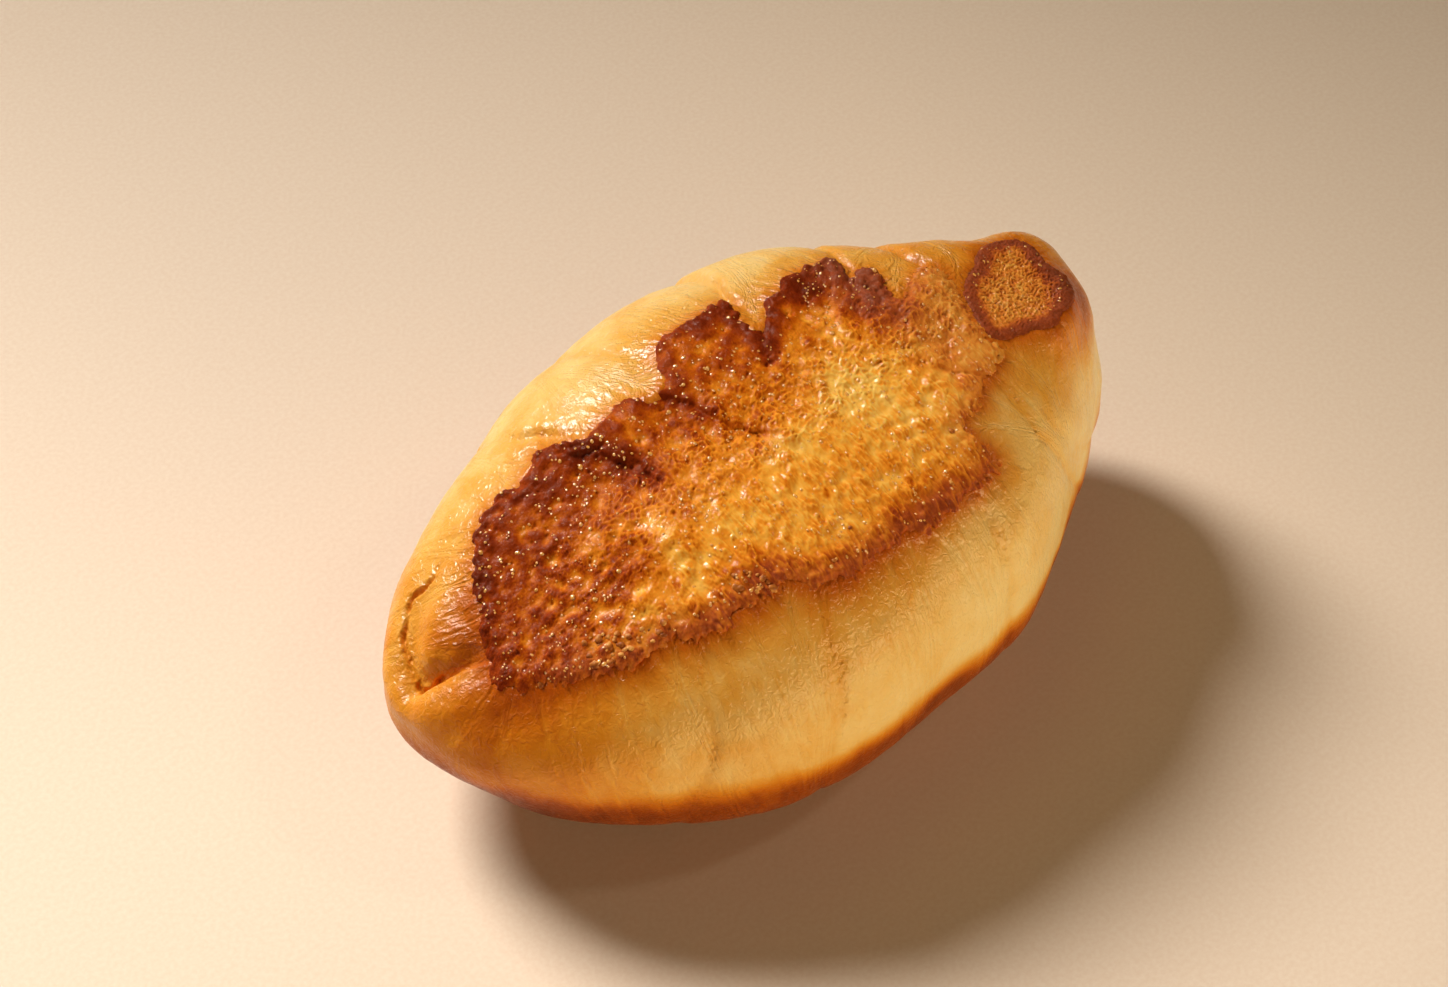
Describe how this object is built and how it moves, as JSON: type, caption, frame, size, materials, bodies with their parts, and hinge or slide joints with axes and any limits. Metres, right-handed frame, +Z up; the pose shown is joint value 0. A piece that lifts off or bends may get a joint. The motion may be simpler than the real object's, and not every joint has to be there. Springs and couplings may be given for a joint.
{
  "type": "salt bread",
  "caption": "Rolled butter bread lying on its dome: a spindle of overlapping wraps, with a scalloped fried base on top, a folded tip and a flat disc on its knob.",
  "frame": {"origin": "middle of the bread's box, on the surface that it lies on", "axes": "+X along the roll, from the folded tip to the knob; +Y across it, to the far side; +Z up, with the fried base on top"},
  "size_m": [0.1184, 0.0732, 0.0478],
  "materials": {
    "baked_dough": "satin, buttered golden skin with a darker fried base"
  },
  "bodies": {
    "root": {"bread": "baked_dough"}
  },
  "joints": []
}
